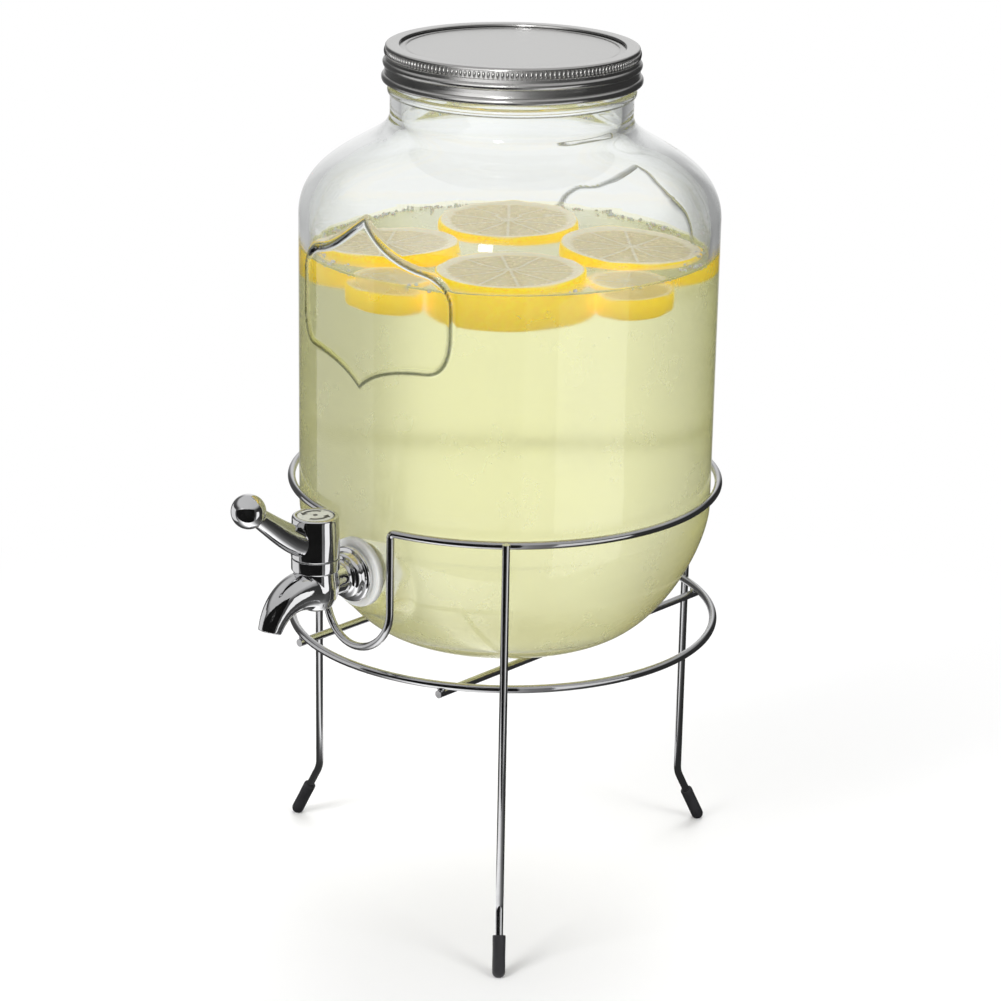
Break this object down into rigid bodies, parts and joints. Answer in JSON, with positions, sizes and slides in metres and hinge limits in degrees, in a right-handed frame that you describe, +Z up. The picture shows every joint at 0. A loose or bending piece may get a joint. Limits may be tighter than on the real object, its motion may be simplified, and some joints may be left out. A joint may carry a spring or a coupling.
{
  "type": "beverage dispenser",
  "caption": "Glass screw-lid drinks jar with a lever tap, set in a chromed wire stand with splayed rubber-tipped legs, filled with cloudy lemonade and floating lemon slices.",
  "frame": {"origin": "centre of the bounding box's footprint, on the ground under the feet", "axes": "+Z up, -Y the way the tap points, +X to the right of someone who faces the tap"},
  "size_m": [0.2042, 0.2678, 0.3779],
  "materials": {
    "wire": "bright chrome plate",
    "rubber": "matt black",
    "glass": "clear polished",
    "lemonade": "cloudy pale yellow",
    "lemon": "moist fruit",
    "plated": "chrome plated",
    "silicone": "milky white",
    "nylon": "white moulded",
    "tinplate": "satin",
    "dial": "pale satin"
  },
  "bodies": {
    "stand": {"upper_ring": "wire", "lower_ring": "wire", "leg_front": "wire", "leg_rear": "wire", "leg_side": "wire", "base_bar_left": "wire", "base_bar_right": "wire", "foot_cap_front": "rubber", "foot_cap_rear": "rubber", "foot_cap_side": "rubber"},
    "jar": {"glass_jar": "glass", "lemonade": "lemonade", "lemon_slice_1": "lemon", "lemon_slice_2": "lemon", "lemon_slice_3": "lemon", "lemon_slice_4": "lemon", "lemon_slice_5": "lemon", "lemon_slice_6": "lemon", "tap_body": "plated", "outer_gasket": "silicone", "inner_gasket": "silicone", "lock_nut": "nylon"},
    "tap_handle": {"tap_lever": "plated", "valve_plug": "nylon", "o_ring_1": "rubber", "o_ring_2": "rubber", "dial_insert": "dial", "lever_screw": "tinplate"},
    "lid": {"lid_disc": "tinplate", "lid_liner": "silicone"},
    "band": {"screw_band": "tinplate"}
  },
  "joints": [
    {"name": "jar_lift", "type": "slide", "parent": "stand", "child": "jar", "axis": [0, 0, 1], "range_m": [0, 0.13]},
    {"name": "tap_turn", "type": "hinge", "parent": "jar", "child": "tap_handle", "pos_m": [0.00724, -0.08925, 0.167], "axis": [0, 0, 1], "range_deg": [0, 90]},
    {"name": "lid_lift", "type": "slide", "parent": "jar", "child": "lid", "axis": [0, 0, 1], "range_m": [0, 0.05]},
    {"name": "band_turn", "type": "hinge", "parent": "lid", "child": "band", "pos_m": [0.00724, 0.02695, 0.3628], "axis": [0, 0, 1], "range_deg": [0, 360]}
  ]
}
